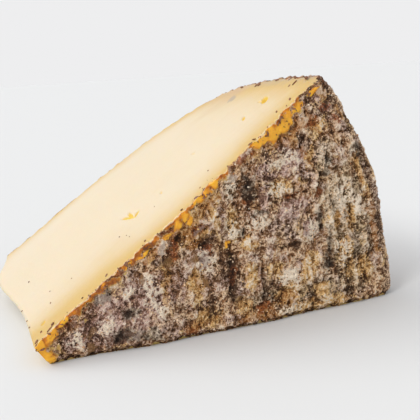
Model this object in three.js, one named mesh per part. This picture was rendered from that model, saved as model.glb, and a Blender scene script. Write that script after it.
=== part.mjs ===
// A wedge of washed rind cheese: a sector of a small round wheel, lying on its lower cut face.
// Millimetres, +Z up. +X runs from the tip, at the wheel's middle, to the heel, its side.
// +Y runs from the near rind face of the wheel to the far one.
// The wedge is a box of grid lines bent into shape: u from tip to heel, v from the lower cut
// to the upper one, and w from the near rind face to the far one, each from 0 to 1.
import * as THREE from "three";

// The wheel that the wedge was cut from
const WHEEL_RADIUS = 100;
const WHEEL_HEIGHT = 85;
const HEEL_BULGE = 1.1;
const NEAR_RIM_ROUND = 3.0;
const FAR_RIM_ROUND = 32.0;
const NEAR_FACE_DOME = 2.0;
const FAR_FACE_DOME = 3.5;

// The two cuts. The upper one is twisted a little, so the slice is thinner at the far face
const NEAR_ANGLE = THREE.MathUtils.degToRad(36.4);
const FAR_ANGLE = THREE.MathUtils.degToRad(31.8);
const UPPER_CUT_CROWN = 1.4;

// The blunt tip: where its lower and upper edges stand, from the wheel's axis, and its height
const NEAR_TIP = { lower: 8.6, upper: 5.5, height: 4.9 };
const FAR_TIP = { lower: 15.0, upper: 10.6, height: 5.6 };
const TIP_NOSE = { reach: 4.8, across: 0.64, spread: 0.26 };

// Unevenness of the rind: a swelling of the heel below its upper edge, and broad ripples
const HEEL_SWELLING = { height: 0.7, angle: 24.5, spread: 6 };
const FACE_RIPPLE = 0.35;
const HEEL_RIPPLE = 0.15;
const RIPPLE_LENGTH = 27;
const CROSS_RIPPLE_LENGTH = 34;

// Where the wheel's axis and its near face stand in the part's frame
const AXIS_X = -52.0;
const NEAR_FACE_Y = -43.2;

// Grid cells along u, v and w, with narrow ones in the near rim's rounding
const CELLS_LONG = 32;
const CELLS_HIGH = 18;
const CELLS_DEEP = 26;
const CELLS_IN_RIM = 3;

const { lerp, clamp } = THREE.MathUtils;

// A smooth hump of height 1 at a middle, falling away over a spread
function hump(at, middle, spread) {
  return Math.exp(-(((at - middle) / spread) ** 2));
}

// Bends the grid's square corner at the heel into an arc. The two values are the distances
// from the arc's own straight sides, as shares of its radius, and both come back bent.
function roundedCorner(a, b) {
  return [a * Math.sqrt(1 - (b * b) / 2), b * Math.sqrt(1 - (a * a) / 2)];
}

// How far along the radius and how deep into the wheel a grid line stands, both in mm,
// with the near and the far rim rounded
function acrossWheel(u, w) {
  const along = u * WHEEL_RADIUS;
  const deep = w * WHEEL_HEIGHT;
  const nearA = (along - WHEEL_RADIUS + NEAR_RIM_ROUND) / NEAR_RIM_ROUND;
  const nearB = (NEAR_RIM_ROUND - deep) / NEAR_RIM_ROUND;
  if (nearA > 0 && nearB > 0) {
    const [a, b] = roundedCorner(nearA, nearB);
    return [WHEEL_RADIUS - NEAR_RIM_ROUND * (1 - a), NEAR_RIM_ROUND * (1 - b)];
  }
  const farA = (along - WHEEL_RADIUS + FAR_RIM_ROUND) / FAR_RIM_ROUND;
  const farB = (deep - WHEEL_HEIGHT + FAR_RIM_ROUND) / FAR_RIM_ROUND;
  if (farA > 0 && farB > 0) {
    const [a, b] = roundedCorner(farA, farB);
    return [
      WHEEL_RADIUS - FAR_RIM_ROUND * (1 - a),
      WHEEL_HEIGHT - FAR_RIM_ROUND * (1 - b),
    ];
  }
  return [along, deep];
}

// Broad ripples of the rind, about 1 high, at a place on it in mm
function ripple(a, b) {
  const long = (2 * Math.PI * a) / RIPPLE_LENGTH;
  const cross = (2 * Math.PI * b) / CROSS_RIPPLE_LENGTH;
  return Math.sin(long + 1.3 * Math.sin(cross)) + Math.cos(cross + 0.6);
}

// The heel's distance from the wheel's axis, at an angle round it and a share of its depth
function heelRadius(angle, depthShare) {
  const swelling = hump(
    THREE.MathUtils.radToDeg(angle),
    HEEL_SWELLING.angle,
    HEEL_SWELLING.spread,
  );
  return (
    WHEEL_RADIUS -
    HEEL_BULGE * (2 * depthShare - 1) ** 2 +
    HEEL_SWELLING.height * swelling +
    HEEL_RIPPLE * ripple(angle * WHEEL_RADIUS, depthShare * WHEEL_HEIGHT)
  );
}

// One point of the wedge's surface, in the part's frame
function wedgePoint(u, v, w) {
  const [along, deep] = acrossWheel(u, w);
  const reach = along / WHEEL_RADIUS;
  const depthShare = deep / WHEEL_HEIGHT;

  const cutAngle = lerp(NEAR_ANGLE, FAR_ANGLE, depthShare);
  const radius = heelRadius(cutAngle * v, depthShare);
  const lowerTip = lerp(NEAR_TIP.lower, FAR_TIP.lower, depthShare);
  const nose = TIP_NOSE.reach * hump(depthShare, TIP_NOSE.across, TIP_NOSE.spread);
  const upperTip = lerp(NEAR_TIP.upper, FAR_TIP.upper, depthShare) - nose;
  const tipHeight = lerp(NEAR_TIP.height, FAR_TIP.height, depthShare);

  // The straight lines along the lower and the upper cut, at this share of their length
  const lower = new THREE.Vector2(lerp(lowerTip, radius, reach), 0);
  const upper = new THREE.Vector2(
    lerp(upperTip, radius * Math.cos(cutAngle), reach),
    lerp(tipHeight, radius * Math.sin(cutAngle), reach),
  );
  const point = lower.clone().lerp(upper, v);

  // Towards the heel the lines from cut to cut bend from chords into the wheel's arc
  const chord = new THREE.Vector2(
    lerp(radius, radius * Math.cos(cutAngle), v),
    lerp(0, radius * Math.sin(cutAngle), v),
  );
  const arc = new THREE.Vector2(radius * Math.cos(cutAngle * v), radius * Math.sin(cutAngle * v));
  point.addScaledVector(arc.sub(chord), reach ** 1.5);

  // The upper cut is crowned a little, along its own normal
  const middle = Math.sin(Math.PI * reach);
  const crown = UPPER_CUT_CROWN * middle * Math.sin(Math.PI * clamp(depthShare, 0, 1)) * v ** 4;
  point.x -= crown * Math.sin(cutAngle);
  point.y += crown * Math.cos(cutAngle);

  // The two rind faces stand out in the middle, and ripple
  const ripples = FACE_RIPPLE * ripple(point.x, point.y);
  const nearDome = NEAR_FACE_DOME * middle + ripples;
  const farDome = FAR_FACE_DOME * middle + ripples;
  const depth = deep - nearDome * (1 - depthShare) + farDome * depthShare;
  return [AXIS_X + point.x, NEAR_FACE_Y + depth, point.y];
}

// Grid lines from 0 to 1, with narrow cells over a share at the start or at the end
function gridLines(cells, narrowStart, narrowEnd) {
  const lines = [];
  const narrow = Math.sign(narrowStart) * CELLS_IN_RIM;
  for (let i = 0; i < narrow; i++) {
    lines.push((narrowStart * i) / CELLS_IN_RIM);
  }
  for (let i = 0; i <= cells; i++) {
    lines.push(lerp(narrowStart, 1 - narrowEnd, i / cells));
  }
  const narrowAtEnd = Math.sign(narrowEnd) * CELLS_IN_RIM;
  for (let i = 1; i <= narrowAtEnd; i++) {
    lines.push(1 - narrowEnd + (narrowEnd * i) / CELLS_IN_RIM);
  }
  return lines;
}

// The closed skin of the wedge: the six sides of the grid, sharing the points of their edges
function wedgeGeometry() {
  const us = gridLines(CELLS_LONG, 0, NEAR_RIM_ROUND / WHEEL_RADIUS);
  const vs = gridLines(CELLS_HIGH, 0, 0);
  const ws = gridLines(CELLS_DEEP, NEAR_RIM_ROUND / WHEEL_HEIGHT, 0);
  const [lastU, lastV, lastW] = [us.length - 1, vs.length - 1, ws.length - 1];
  const numberOf = new Map();
  const places = [];
  const triangles = [];

  const vertex = (i, j, k) => {
    const key = (i * vs.length + j) * ws.length + k;
    if (!numberOf.has(key)) {
      numberOf.set(key, numberOf.size);
      places.push(...wedgePoint(us[i], vs[j], ws[k]));
    }
    return numberOf.get(key);
  };
  const side = (cellsA, cellsB, at) => {
    for (let a = 0; a < cellsA; a++) {
      for (let b = 0; b < cellsB; b++) {
        const [p, q, r, s] = [at(a, b), at(a + 1, b), at(a + 1, b + 1), at(a, b + 1)];
        triangles.push(p, q, r, p, r, s);
      }
    }
  };
  side(lastW, lastU, (k, i) => vertex(i, 0, k));
  side(lastU, lastW, (i, k) => vertex(i, lastV, k));
  side(lastU, lastV, (i, j) => vertex(i, j, 0));
  side(lastV, lastU, (j, i) => vertex(i, j, lastW));
  side(lastV, lastW, (j, k) => vertex(0, j, k));
  side(lastW, lastV, (k, j) => vertex(lastU, j, k));

  const geometry = new THREE.BufferGeometry();
  geometry.setAttribute("position", new THREE.Float32BufferAttribute(places, 3));
  geometry.setIndex(triangles);
  geometry.computeVertexNormals();
  return geometry;
}

const cheese = new THREE.MeshStandardMaterial({
  name: "cheese",
  color: 0xe8d3a2,
  roughness: 0.6,
  metalness: 0,
});
const wedge = new THREE.Mesh(wedgeGeometry(), cheese);
wedge.name = "cheese_wedge";

const group = new THREE.Group();
group.add(wedge);

export default group;
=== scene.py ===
import itertools
import math

import bmesh
import bpy
import numpy as np
from mathutils import Matrix, Vector


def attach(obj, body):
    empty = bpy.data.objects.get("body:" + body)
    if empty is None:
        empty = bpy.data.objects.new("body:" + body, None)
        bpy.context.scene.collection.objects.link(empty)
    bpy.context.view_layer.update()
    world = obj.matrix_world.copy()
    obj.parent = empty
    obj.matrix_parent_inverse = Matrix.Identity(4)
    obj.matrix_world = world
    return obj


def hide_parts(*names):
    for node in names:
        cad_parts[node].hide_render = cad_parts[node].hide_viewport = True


# A wedge of washed rind cheese. Sizes and places in this script are in millimetres, in the
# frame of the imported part, and meshes are turned into metres as they are made. Places on the
# wheel are given as along, from the wheel's axis outwards, deep, from the near rind face, and
# angle, from the lower cut to the upper one.
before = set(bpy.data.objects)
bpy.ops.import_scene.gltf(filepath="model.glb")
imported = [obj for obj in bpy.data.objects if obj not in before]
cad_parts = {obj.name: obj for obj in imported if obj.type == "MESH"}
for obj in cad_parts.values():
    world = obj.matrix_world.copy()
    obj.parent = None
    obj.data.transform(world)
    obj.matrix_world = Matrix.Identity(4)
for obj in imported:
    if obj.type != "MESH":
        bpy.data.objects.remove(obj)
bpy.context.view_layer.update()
MM = 0.001

# The wheel, its cuts and its blunt tip, as in the part
WHEEL_RADIUS = 100.0
WHEEL_HEIGHT = 85.0
HEEL_BULGE = 1.1
NEAR_RIM_ROUND = 3.0
FAR_RIM_ROUND = 32.0
NEAR_FACE_DOME = 2.0
FAR_FACE_DOME = 3.5
NEAR_ANGLE = math.radians(36.4)
FAR_ANGLE = math.radians(31.8)
UPPER_CUT_CROWN = 1.4
NEAR_TIP = {"lower": 8.6, "upper": 5.5, "height": 4.9}
FAR_TIP = {"lower": 15.0, "upper": 10.6, "height": 5.6}
TIP_NOSE = {"reach": 4.8, "across": 0.64, "spread": 0.26}
HEEL_SWELLING = {"height": 0.7, "angle": math.radians(24.5), "spread": math.radians(6)}
FACE_RIPPLE = 0.35
HEEL_RIPPLE = 0.15
RIPPLE_LENGTH = 27.0
CROSS_RIPPLE_LENGTH = 34.0
AXIS_X = -52.0
NEAR_FACE_Y = -43.2

# Cells of the skin's grid from tip to heel, from cut to cut and from face to face, and the
# longest edges, in mm, that the skin has on the near face, beside it, on the heel and in eyes
CELLS_LONG = 96
CELLS_HIGH = 56
CELLS_DEEP = 66
CELLS_IN_RIM = 4
NEAR_FACE_EDGE = 0.33
EDGE_STRIP = {"width": 3.0, "edge": 0.42}
HEEL_EDGE = 1.1
EYE_EDGE = 0.35

# The camera: where it stands round the wedge, in degrees, and what it looks at
CAMERA_AZIMUTH = -21.4
CAMERA_ELEVATION = 11.3
CAMERA_ROLL = -3.7
CAMERA_DISTANCE = 165.8
CAMERA_TARGET = (AXIS_X + 48.3, NEAR_FACE_Y, 29.3)
CAMERA_LENS = 61.7
SENSOR_WIDTH = 36.0
# The floor's radius in metres, where the room darkens overhead, and two suns from the left, a
# broad one behind and a smaller one in front: azimuth, elevation, strength, width and colour
FLOOR_RADIUS = 6.0
OVERHEAD = {"from": 0.12, "to": 0.4}
SUNS = {
    "key": (-128, 50, 1.25, 52, (1.0, 0.985, 0.96)),
    "raking": (-62, 38, 1.0, 18, (1.0, 0.98, 0.95)),
}

# Marks of the near rind face: along the floor from the wheel's axis, height above the floor,
# length, width and the way the length runs, in degrees up from the floor
GOLD_SMEARS = [
    (61.6, 44.4, 7, 4, 25), (65.2, 45.8, 6, 5, 35), (68.4, 47.6, 7, 5, 45), (72, 50.6, 6, 3, 45),
    (76.4, 54.6, 6, 1.3, 40), (45.6, 32.8, 7, 3.2, 25), (49, 35.2, 3, 2.4, 60),
    (41.2, 29, 3.2, 2.6, 60), (36.6, 25.4, 4, 1.3, 35), (30.6, 21.9, 5.5, 1, 33),
    (27, 19.8, 3, 0.9, 40), (22, 15.8, 2.6, 1, 35), (7.8, 2.6, 6.5, 3, 115), (6.6, 4.6, 3.4, 3, 60),
    (9.4, 6.8, 5, 2.6, 50), (12.2, 8.8, 5, 2.2, 38), (51.3, 20.4, 2, 1.6, 0),
    (39, 27.4, 4, 2.4, 40), (42.4, 27.6, 2.4, 2, 60),
]
RUST_MARKS = [
    (14, 8.4, 3.4, 1.8, 30), (17, 11.4, 3, 1.4, 40), (55.8, 40.2, 5, 2.8, 38),
    (58.8, 41.4, 3, 2, 40), (53.4, 38.4, 5, 1.6, 35), (37.8, 26.6, 3.2, 1.8, 50),
    (25, 18, 5, 1.2, 35), (38.6, 22.4, 4.4, 2.8, 90), (46.4, 21.4, 5, 1.4, 0),
    (52.4, 12.8, 6, 2.6, 80), (57, 30.2, 3.2, 1.6, 0), (59.6, 4.2, 5.4, 4.6, 20),
    (36.4, 26, 3, 3, 0), (38, 20.8, 4, 3, 90), (44.6, 25.6, 3, 3.4, 90), (46.8, 20.2, 3.6, 2.6, 0),
    (41.2, 1.2, 5, 2, 0), (75.4, 47, 5, 2.2, 30), (79.4, 50.6, 3.4, 2.6, 0),
    (76.4, 30.4, 2.6, 1.4, 75), (68.4, 30, 4, 1.8, 0), (82.6, 47, 3.4, 1.8, 120),
]
UMBER_MARKS = [
    (39.4, 22.6, 8, 5, 90), (46, 20.6, 7, 3, 0), (52.4, 12.6, 15, 7, 92), (68.6, 29.8, 5, 3.4, 0),
    (69, 17.8, 14, 2.6, -4), (61.4, 9, 10, 3.4, 90), (76.6, 30, 4, 2.2, 70), (67, 22.6, 11, 7, 0),
    (73.6, 34, 6, 5, 0), (84, 46, 8, 2.6, -52), (93, 22, 22, 2.4, 103), (34.6, 19.4, 4, 3, 0),
    (71, 42, 9, 4, 50), (47.6, 7, 8, 4, 90), (80, 53, 7, 4, -50), (29.6, 19, 6, 2, 34),
]
CREAM_MARKS = [
    (48.4, 26.6, 7, 3.4, 85), (53, 25.4, 10, 4.6, 90), (57.4, 20.4, 5, 4, 30),
    (44, 13.6, 10, 6, 90), (41.2, 25.6, 6, 5, 60), (45.4, 29.6, 9, 5, 35), (45.4, 24.6, 5, 4, 60),
    (36, 15, 8, 4, 90), (73.4, 11.6, 9, 6.4, 90), (66.6, 5.6, 9, 5.6, 0), (64.4, 12.4, 6, 4.6, 0),
    (76.6, 5, 7, 4.6, 90), (57, 12.6, 8, 5, 90), (84, 13, 14, 6.4, 98), (89.4, 9, 9, 5.4, 95),
    (81, 23.4, 10, 3, 100), (85.4, 22, 9, 4.4, 100), (46, 4.6, 9, 6, 0), (88.6, 33, 14, 2.4, 105),
    (65.6, 33, 7, 4, 0), (71.6, 33, 5, 3, 0), (75, 40, 9, 3, 70), (78, 46, 7, 2.6, 60),
    (47.6, 29.6, 4, 3, 0), (55, 5, 6, 6, 0), (72, 1.8, 12, 4.4, 0), (81, 2, 12, 4.4, 0),
]
SLATE_MARKS = [
    (57.4, 33.8, 8, 4.4, 95), (79.4, 36.4, 8, 2.2, 82), (82.6, 30, 5, 2.6, 80),
    (79.2, 17.4, 11, 2.4, 98), (78.6, 12, 6, 3.2, 80), (56.2, 23.4, 4.4, 2.4, 80),
    (80.8, 26, 5, 2.2, 90), (25.6, 3.8, 11, 5, 5), (32, 3, 8, 3.6, -10), (21, 12.6, 7, 2.4, 42),
    (27, 9, 5, 3.4, 0), (76.6, 24, 9, 2.4, 92), (60.6, 27.4, 5, 2, 0), (88, 39, 8, 4, 110),
]
SOOT_MARKS = [
    (57.2, 35, 4.6, 2, 95), (57.8, 30.6, 3, 1.5, 80), (78.6, 11.2, 2.6, 1.8, 60),
    (26.6, 8.8, 2.6, 1.8, 0), (24.6, 3.4, 4.4, 2.8, 60), (29.6, 2.6, 6, 1.6, -15),
    (52.2, 11.8, 12, 2.2, 91), (53, 6.4, 4, 2.4, 60), (56.2, 23.3, 2.6, 1.4, 80),
    (60.2, 9.6, 5, 0.9, 90), (76.9, 31.6, 4.4, 0.9, 75), (69.6, 24.8, 1.4, 1, 0),
    (61.2, 24.9, 1, 0.8, 0), (45.6, 21.8, 3.4, 0.8, 0), (13, 5.2, 2, 1, 40),
    (79.6, 38.6, 3.4, 0.8, 78),
]
PALE_MARKS = [
    (32, 13.6, 10, 5.6, 105), (34, 9, 8, 3.6, 115), (14.8, 4.2, 8.6, 5.6, 30), (27.6, 13, 6, 4, 40),
    (59.6, 25.2, 7, 4.4, 10), (64.6, 32.4, 6, 4, 0), (68, 39.4, 13, 4.6, 22),
    (78.6, 54.4, 5, 3, -50), (53.4, 24, 7, 5, 80), (74.6, 20.4, 8, 3.6, 90),
    (35.6, 22.8, 3.6, 2.4, 80), (83.6, 28.6, 10, 4, 100), (46, 17.6, 7, 6, 60),
    (67.4, 10.4, 8, 5, 0), (87.6, 25, 9, 3.4, 102), (67.5, 2.4, 10, 4, 0), (83.2, 13, 12, 5, 96),
    (53, 33.4, 6, 4, 70), (20.6, 6, 8, 5, 40),
]
LILAC_MARKS = [
    (27, 9, 32, 15, 22), (14.6, 4.4, 8, 6, 30), (21, 12, 8, 3.6, 42), (35.6, 22.6, 3.4, 2.2, 80),
    (45.4, 17.4, 4, 3, 60), (67, 38, 18, 9, 15), (69, 27, 12, 6, 0), (61, 30.6, 8, 4, 80),
    (72.6, 21.4, 7, 5, 0), (53.4, 35.4, 4, 3, 60), (78.6, 52, 8, 5, -50),
]
# Ochre stains beside the smears, where fat has soaked into the rind
STAIN_MARKS = [
    (70, 43, 9, 3, -55), (73.4, 39, 8, 2.4, -60), (76, 47.4, 9, 3, -50), (72, 46.4, 7, 3.4, 60),
    (65.6, 43.4, 9, 3.4, 25), (46, 30.8, 10, 4, 30), (40, 26.8, 8, 4, 40), (60, 41.6, 9, 2.4, 30),
    (33.6, 21.8, 9, 3.4, 35), (12, 8.2, 5, 2.4, 40), (83.6, 49, 8, 2.6, -58), (60.4, 2.8, 9, 5, 5),
    (67, 5, 8, 5, 0), (79, 54, 6, 4, -50), (42, 25.2, 10, 7, 30), (47, 30.4, 9, 4, 35),
    (92.6, 20, 24, 2.4, 103), (41.4, 2.4, 6, 4, 20), (55.6, 1.8, 7, 3, 10), (43.6, 22, 5, 2.4, 15),
]
# Greenish places, where the mould is thin and grey
SAGE_MARKS = [
    (85, 20, 46, 20, 98), (74, 4, 26, 12, 5), (52.6, 26, 8, 5, 80), (60, 6, 16, 8, 0),
    (78.6, 38, 14, 6, 80), (53, 34, 7, 5, 80),
]
# Smooth translucent hollows, brown like old oil
OLIVE_MARKS = [
    (36.8, 19.4, 3.4, 3, 60), (46.4, 23.6, 4.6, 1.6, 12), (43.4, 18.6, 2.4, 1.6, 0),
    (17.6, 2.2, 3, 2.6, 0), (46.4, 12.4, 2.6, 3, 0), (18.6, 6, 3, 1.6, 70),
    (30.6, 15.6, 3, 1.4, 80),
]
# Smooth plates of grey crust that no mould grows on
PLATE_MARKS = [
    (21.6, 12.8, 4.4, 2.4, 42), (35.6, 22.8, 3.2, 1.9, 82), (45.2, 17.6, 3.6, 2.4, 60),
    (44.6, 25.4, 3, 1.6, 55), (27.6, 3.2, 2.6, 1.6, 30), (53.6, 36.2, 3, 2, 40),
    (72.6, 21, 3, 1.6, 90),
]
# Creases and ridges, in the same terms, each with its height, which is negative for a crease
FOLDS = [
    (52.2, 14, 20, 2.6, 92, -0.8), (60.2, 11.6, 12, 1.4, 90, -0.7), (76.9, 31.8, 7, 1.5, 75, -0.9),
    (75.3, 32.4, 6.4, 1.3, 72, 0.8), (67, 18.2, 20, 1.6, -4, -0.5), (78.9, 12.6, 9, 2.8, 82, -0.35),
    (77.2, 22, 16, 1.4, 93, -0.55), (79.8, 24, 14, 1.8, 98, 0.45), (57.8, 33.4, 8, 2.8, 95, -0.3),
    (46.6, 22, 7, 2, 4, -0.8), (37, 19.4, 3.4, 3, 60, -0.6), (46.4, 12.4, 3, 3, 0, -0.4),
    (35.6, 22.8, 3.8, 2.6, 80, 0.7), (49.6, 27, 14, 1.6, 86, 0.4), (51.3, 20.4, 2.2, 1.8, 0, 0.8),
    (57.6, 20, 5, 4.6, 0, 0.4), (58.4, 20.4, 2.4, 1.6, 0, -0.5), (17.2, 6.4, 6, 0.8, 72, 0.5),
    (24.8, 3.4, 5, 3, 60, -0.6), (26.8, 8.8, 2.8, 2, 0, -0.6), (29.8, 1.6, 7, 1.4, -12, -0.4),
    (55.8, 40.2, 5, 2.6, 40, 0.8), (42, 17.2, 3, 2.4, 0, 0.5), (39.4, 24.6, 4, 1.2, 70, -0.5),
    (70, 30.4, 10, 1.4, 8, -0.4), (56.2, 23.3, 2.6, 1.6, 80, -0.6), (79.4, 38, 8, 1.2, 78, -0.5),
    (73.4, 43, 8, 1.4, 58, -0.4), (70.6, 44.6, 8, 1.6, 56, 0.3),
]
# The kinds of mark: where they are on the near face, how many are scattered over the other
# sides, and about what radius those have
RIND_MARKS = {
    "rust": (RUST_MARKS, 14, 2.0),
    "umber": (UMBER_MARKS, 40, 6.0),
    "cream": (CREAM_MARKS, 40, 7.0),
    "slate": (SLATE_MARKS, 26, 4.0),
    "soot": (SOOT_MARKS, 16, 2.2),
    "pale": (PALE_MARKS, 34, 6.0),
    "lilac": (LILAC_MARKS, 14, 13.0),
    "olive": (OLIVE_MARKS, 14, 2.4),
    "plate": (PLATE_MARKS, 10, 2.6),
    "sage": (SAGE_MARKS, 10, 13.0),
    "stain": (STAIN_MARKS, 8, 6.0),
}
# How ragged their outlines are, and how strong the marks of the other sides are
RAGGEDNESS = dict.fromkeys(RIND_MARKS, 0.3) | {"umber": 0.6, "slate": 0.6, "soot": 0.5}
HIDDEN_STRENGTH = 0.85
# The band of cheese smeared over the rind along the upper cut: its width, how much that gains
# at a place and over what spread, and how uneven it is
SMEARED_BAND = {"width": 1.3, "gain": 0.6, "along": 34, "spread": 18, "uneven": 1.5, "ragged": 0.9}
# How high the parts of the rind's relief are, how deep its pits are, and how far its grain and
# then the whole relief are sunk, so that the rind stays about at the plain form
RELIEF = {"lumps": 0.3, "mottle": 0.14, "mould": 0.2, "threads": 0.42, "beads": 0.2, "smears": 0.45}
PIT_DEPTH = 0.4
GRAIN_SUNK = 0.3
RELIEF_SUNK = 0.25
# Upright columns of crust: how wide, and how high on the tip's side and on the heel's
COLUMNS = {"size": 5.2, "at_tip": 0.24, "at_heel": 0.36}
# The print of the coarse cloth that the wheel was pressed in: the grooves' spacing round the
# wheel and up it, and their depth
CLOTH_PRINT = {"across": 2.4, "up": 4.4, "depth": 0.3}
# Flakes of dried mould, wide and high, with gaps between them
FLAKES = {"size": 2.5, "height": 0.5}
# Along the lower edge the rind turns in under the wedge: from how high up, and how far. Over that
# height the rind is also painted darker, as a shadow along the floor
UNDERCUT = {"height": 1.6, "depth": 1.1}
# Where the mould on the faces is thinner: how far from the wheel's axis, and by how much
THIN_MOULD = {"along": 22.0, "spread": 22.0, "less": 0.5}
# Wrinkles that run round the wheel beside the heel: where they start and their height
WRINKLES = {"start": 81.0, "spacing": 4.3, "height": 0.24}
# On the cuts: how far in the rind's relief reaches, and how far in and how deep they are worn
RELIEF_REACH = 0.9
WORN_EDGE = {"reach": 0.8, "chips": 1.1, "crumbling": 0.22}
# The upper cut is worn down at the heel's near corner: how far, and over what length and depth
WORN_CORNER = {"depth": 1.1, "along": 11, "deep": 14}
# The rind's thickness where the cuts go through it, and at the heel's near corner
RIND_THICKNESS = {"even": 0.25, "uneven": 0.5, "corner": 1.3, "corner_uneven": 2.6, "most": 3.2}
# Eyes in the upper cut: how far from the wheel's axis and from the near face, length, width,
# the way the length runs, in degrees from the tip-to-heel line, and depth
EYES = [
    (38, 21.8, 6.4, 1.3, 114, 0.8), (39, 22, 5.4, 1.1, 84, 0.7), (40.2, 19.8, 3.8, 1.3, 40, 0.8),
    (89.2, 19.4, 5.4, 2.2, 62, 1.6), (88.2, 21, 2, 0.9, 90, 0.6), (80.8, 19.2, 3.4, 1.1, 60, 0.7),
    (49, 19, 1.8, 1, 80, 0.3), (64.4, 25.4, 2.4, 1.2, 100, 0.25), (4.2, 7.6, 1.8, 1.5, 60, 0.8),
]
# A grey smear of mould and scraps of rind on the upper cut, in the same terms but for the depth
GREY_SMEAR = (91.4, 47, 9, 4.4, 60)
SCRAPS = [
    (98.2, 39, 3.2, 1.3, 68), (98, 40.6, 2, 1, 40), (96.4, 11.4, 2.4, 0.7, 15),
    (98.4, 7.4, 2.6, 0.9, 75), (95.2, 12.8, 1.6, 0.5, 30), (98.9, 14.6, 2.2, 0.8, 80),
    (99, 21, 2, 0.7, 85), (98.9, 27.5, 2.4, 1, 80), (98.6, 53, 3, 1, 75), (6.4, 2.2, 1.5, 0.9, 70),
    (2.9, 3.9, 1, 0.7, 60), (5.2, 1, 1.8, 0.9, 20), (1, 1.2, 1.6, 1, 60), (0.3, 25, 0.8, 0.5, 60),
    (0.3, 12.2, 0.9, 0.6, 70), (0.3, 17, 0.6, 0.5, 70), (36, 2, 1, 0.6, 70),
    (23.6, 2, 1.4, 0.6, 60), (60.5, 7.3, 0.9, 0.4, 70), (84, 3.4, 1.4, 0.6, 60),
    (89, 3.2, 1.6, 0.7, 60), (8, 14.3, 0.8, 0.5, 80), (9.4, 21, 0.6, 0.4, 80),
    (6.8, 37, 0.7, 0.5, 80), (16, 16.8, 0.5, 0.4, 60), (32.5, 15.4, 0.6, 0.4, 60),
    (34, 12.8, 0.5, 0.3, 60), (34.3, 10.8, 0.5, 0.3, 60), (44.6, 14.8, 0.5, 0.3, 60),
]
# How thick a scrap is for its width
SCRAP_THICKNESS = 0.45
# Grains of mould and crumbs of rind: how many, their length, how wide and thick they are for it,
# how far they are sunk in, and the height above the floor where they start
GRAINS = {"count": 5200, "smallest": 0.2, "largest": 0.6, "slim": 0.75, "sunk": 0.25, "seed": 61}
CRUMBS = {"count": 170, "smallest": 0.3, "largest": 1.5, "slim": 0.38, "sunk": 0.2, "seed": 62}
OFF_FLOOR = 0.6
# How many crumbs lie on the upper cut itself, against those on the smears of cheese
CRUMBS_ON_CUT = 0.22


def lerp(a, b, share):
    return a + (b - a) * share


def smooth_step(low, high, value):
    """0 up to low, 1 from high, and a smooth rise between them."""
    share = np.clip((value - low) / (high - low), 0, 1)
    return share * share * (3 - 2 * share)


def hump(at, middle, spread):
    return np.exp(-(((at - middle) / spread) ** 2))


def fading(distance, reach):
    return np.exp(-distance / reach)


# Noise on a lattice, for the relief and the marks
ORDER = np.random.default_rng(7).permutation(256)
SLOPES = np.random.default_rng(8).normal(size=(256, 3))
SLOPES /= np.linalg.norm(SLOPES, axis=1, keepdims=True)
SCATTER = np.random.default_rng(9).random((256, 3))
CORNERS = [np.array(step) for step in itertools.product((0, 1), repeat=3)]
NEIGHBOURS = [np.array(step) for step in itertools.product((-1, 0, 1), repeat=3)]


def scrambled(cells, seed):
    """A number from 0 to 255 for each cell of a lattice."""
    x, y, z = ((cells + 31 * seed) & 255).T
    return ORDER[(ORDER[(ORDER[x] + y) & 255] + z) & 255]


def noise(points, size, seed):
    """Smooth noise, mostly between -1 and 1, with lumps about size wide."""
    scaled = points / size
    cells = np.floor(scaled).astype(int)
    inside = scaled - cells
    fade = inside**3 * (inside * (inside * 6 - 15) + 10)
    total = np.zeros(len(points))
    for corner in CORNERS:
        slope = SLOPES[scrambled(cells + corner, seed)]
        weight = np.prod(np.where(corner, fade, 1 - fade), axis=1)
        total += weight * np.sum(slope * (inside - corner), axis=1)
    return 1.7 * total


def layered_noise(points, size, seed, layers=3, gain=0.5):
    """Noise with finer and weaker noise on top."""
    total = np.zeros(len(points))
    for layer in range(layers):
        total += gain**layer * noise(points, size / 2**layer, seed + layer)
    return total


def grains(points, size, seed):
    """How far the nearest of many scattered grains is, in grain widths, how much further the
    next one is, and the nearest one's own number."""
    scaled = points / size
    cells = np.floor(scaled).astype(int)
    nearest = np.full(len(points), np.inf)
    second = np.full(len(points), np.inf)
    own = np.zeros(len(points))
    for neighbour in NEIGHBOURS:
        number = scrambled(cells + neighbour, seed)
        distance = np.linalg.norm(cells + neighbour + SCATTER[number] - scaled, axis=1)
        second = np.minimum(second, np.maximum(distance, nearest))
        own = np.where(distance < nearest, number / 255, own)
        nearest = np.minimum(nearest, distance)
    return nearest, second - nearest, own


# The wedge's form, as in the part
def across_wheel(u, w):
    """How far along the radius and how deep a grid line stands, with the rims rounded."""
    along = u * WHEEL_RADIUS
    deep = w * WHEEL_HEIGHT
    for rim, face, sign in ((NEAR_RIM_ROUND, 0, 1), (FAR_RIM_ROUND, WHEEL_HEIGHT, -1)):
        a = 1 - (WHEEL_RADIUS - along) / rim
        b = 1 - sign * (deep - face) / rim
        bends = (a > 0) & (b > 0)
        a = np.where(bends, a, 0)
        b = np.where(bends, b, 0)
        along = np.where(bends, WHEEL_RADIUS - rim * (1 - a * np.sqrt(1 - b * b / 2)), along)
        deep = np.where(bends, face + sign * rim * (1 - b * np.sqrt(1 - a * a / 2)), deep)
    return along, deep


def ripple(a, b):
    long = 2 * np.pi * a / RIPPLE_LENGTH
    cross = 2 * np.pi * b / CROSS_RIPPLE_LENGTH
    return np.sin(long + 1.3 * np.sin(cross)) + np.cos(cross + 0.6)


def heel_radius(angle, depth_share):
    swelling = hump(angle, HEEL_SWELLING["angle"], HEEL_SWELLING["spread"])
    return (
        WHEEL_RADIUS
        - HEEL_BULGE * (2 * depth_share - 1) ** 2
        + HEEL_SWELLING["height"] * swelling
        + HEEL_RIPPLE * ripple(angle * WHEEL_RADIUS, depth_share * WHEEL_HEIGHT)
    )


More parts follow.
